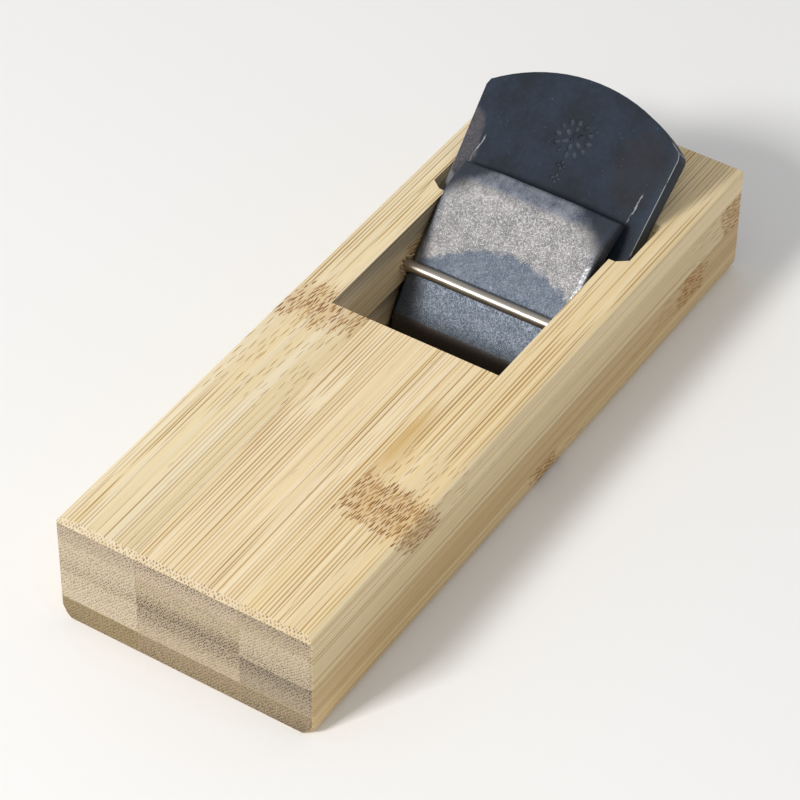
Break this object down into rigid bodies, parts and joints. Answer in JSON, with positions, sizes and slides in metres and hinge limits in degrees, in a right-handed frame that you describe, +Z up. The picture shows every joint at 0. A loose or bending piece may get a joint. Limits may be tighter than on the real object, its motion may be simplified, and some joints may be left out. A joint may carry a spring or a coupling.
{
  "type": "hand plane",
  "caption": "Small pull-stroke wooden hand plane: glued bamboo block, wedge blade on a sloping bed, chip breaker held down by a steel cross pin.",
  "frame": {"origin": "centre of the sole, the flat underside that slides on the work", "axes": "+X towards the rear end, which the blade's head leans to; +Y towards the left cheek; +Z up out of the sole"},
  "size_m": [0.1624, 0.058, 0.0443],
  "materials": {
    "bamboo_top_ply": "planed bare bamboo, pale straw with darker straight fibre lines and brown dashes at the knots",
    "bamboo_upper_ply": "planed bare bamboo",
    "bamboo_lower_ply": "planed bare bamboo",
    "bamboo_sole_ply": "planed bare bamboo, a little browner",
    "forged_iron": "blue-black forge scale, satin, worn grey at the edges",
    "ground_iron": "coarsely ground grey iron with blue-grey scale left in the low places",
    "edge_steel": "finely ground hard steel",
    "pin_steel": "bright drawn steel rod"
  },
  "bodies": {
    "block": {"lower_ply_left_strip": "bamboo_lower_ply", "lower_ply_middle_strip_front": "bamboo_lower_ply", "lower_ply_middle_strip_rear": "bamboo_lower_ply", "lower_ply_right_strip": "bamboo_lower_ply", "sole_ply_left_strip": "bamboo_sole_ply", "sole_ply_middle_strip_front": "bamboo_sole_ply", "sole_ply_middle_strip_rear": "bamboo_sole_ply", "sole_ply_right_strip": "bamboo_sole_ply", "top_ply_left_strip": "bamboo_top_ply", "top_ply_middle_strip_front": "bamboo_top_ply", "top_ply_middle_strip_rear": "bamboo_top_ply", "top_ply_right_strip": "bamboo_top_ply", "upper_ply_left_strip": "bamboo_upper_ply", "upper_ply_middle_strip_front": "bamboo_upper_ply", "upper_ply_middle_strip_rear": "bamboo_upper_ply", "upper_ply_right_strip": "bamboo_upper_ply", "cross_pin": "pin_steel"},
    "blade": {"blade_iron_body": "forged_iron", "blade_edge_steel": "edge_steel"},
    "chip_breaker": {"chip_breaker_iron_body": "ground_iron", "chip_breaker_edge_steel": "edge_steel"}
  },
  "joints": [
    {"name": "blade_slide", "type": "slide", "parent": "block", "child": "blade", "axis": [0.7809, 0, 0.6247], "range_m": [-0.0008, 0.08]},
    {"name": "chip_breaker_slide", "type": "slide", "parent": "blade", "child": "chip_breaker", "axis": [0.757, 0, 0.6534], "range_m": [-0.0004, 0.07]}
  ]
}
